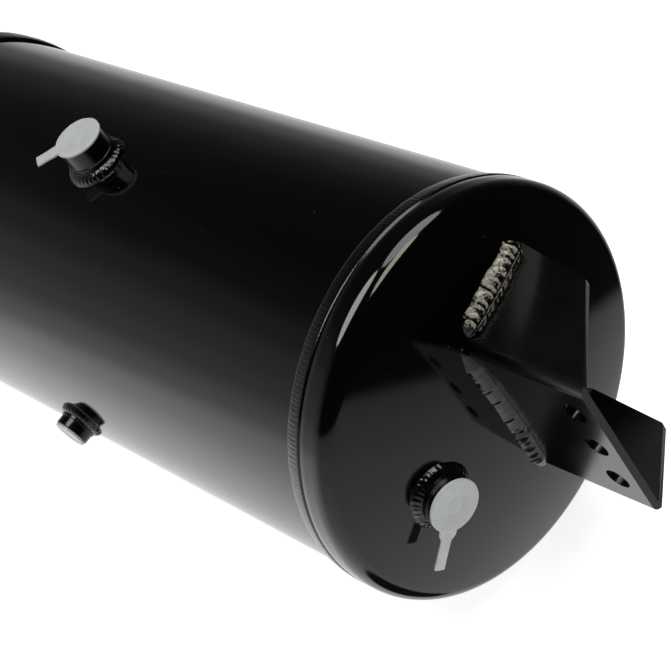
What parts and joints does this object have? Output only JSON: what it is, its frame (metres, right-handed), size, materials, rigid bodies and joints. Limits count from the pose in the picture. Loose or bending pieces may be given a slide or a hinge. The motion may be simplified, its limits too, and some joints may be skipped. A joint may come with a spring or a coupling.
{
  "type": "air reservoir tank",
  "caption": "Round welded steel pressure reservoir with lapped domed heads, a bent bracket with bolt holes on each end, and threaded ports closed by push-in plastic plugs.",
  "frame": {"origin": "centre of the front bracket's middle bolt hole, in the middle of its plate and on the tank's own axis", "axes": "+X along the tank's axis and out through the front head, +Z out through the large port in the shell, -Y out through the small port and the outer face of the bracket webs"},
  "size_m": [0.7293, 0.2576, 0.2667],
  "materials": {
    "black_paint": "gloss black enamel over welded steel",
    "plug_plastic": "natural translucent polyethylene, satin"
  },
  "bodies": {
    "tank": {"shell": "black_paint", "shell_seam_weld": "black_paint", "front_head": "black_paint", "rear_head": "black_paint", "front_girth_weld": "black_paint", "rear_girth_weld": "black_paint", "front_bracket": "black_paint", "rear_bracket": "black_paint", "front_bracket_web_weld": "black_paint", "front_bracket_upper_weld": "black_paint", "front_bracket_lower_weld": "black_paint", "rear_bracket_web_weld": "black_paint", "rear_bracket_upper_weld": "black_paint", "rear_bracket_lower_weld": "black_paint", "shell_port_bung": "black_paint", "shell_port_weld": "black_paint", "small_port_bung": "black_paint", "small_port_weld": "black_paint", "head_port_bung": "black_paint", "head_port_weld": "black_paint"},
    "shell_plug": {"shell_port_plug": "plug_plastic"},
    "small_plug": {"small_port_plug": "plug_plastic"},
    "head_plug": {"head_port_plug": "plug_plastic"}
  },
  "joints": [
    {"name": "shell_plug_pull", "type": "slide", "parent": "tank", "child": "shell_plug", "axis": [0, 0, 1], "range_m": [0, 0.03]},
    {"name": "small_plug_pull", "type": "slide", "parent": "tank", "child": "small_plug", "axis": [0, -1, 0], "range_m": [0, 0.02]},
    {"name": "head_plug_pull", "type": "slide", "parent": "tank", "child": "head_plug", "axis": [0.9873, -0.1588, 0], "range_m": [0, 0.03]}
  ]
}
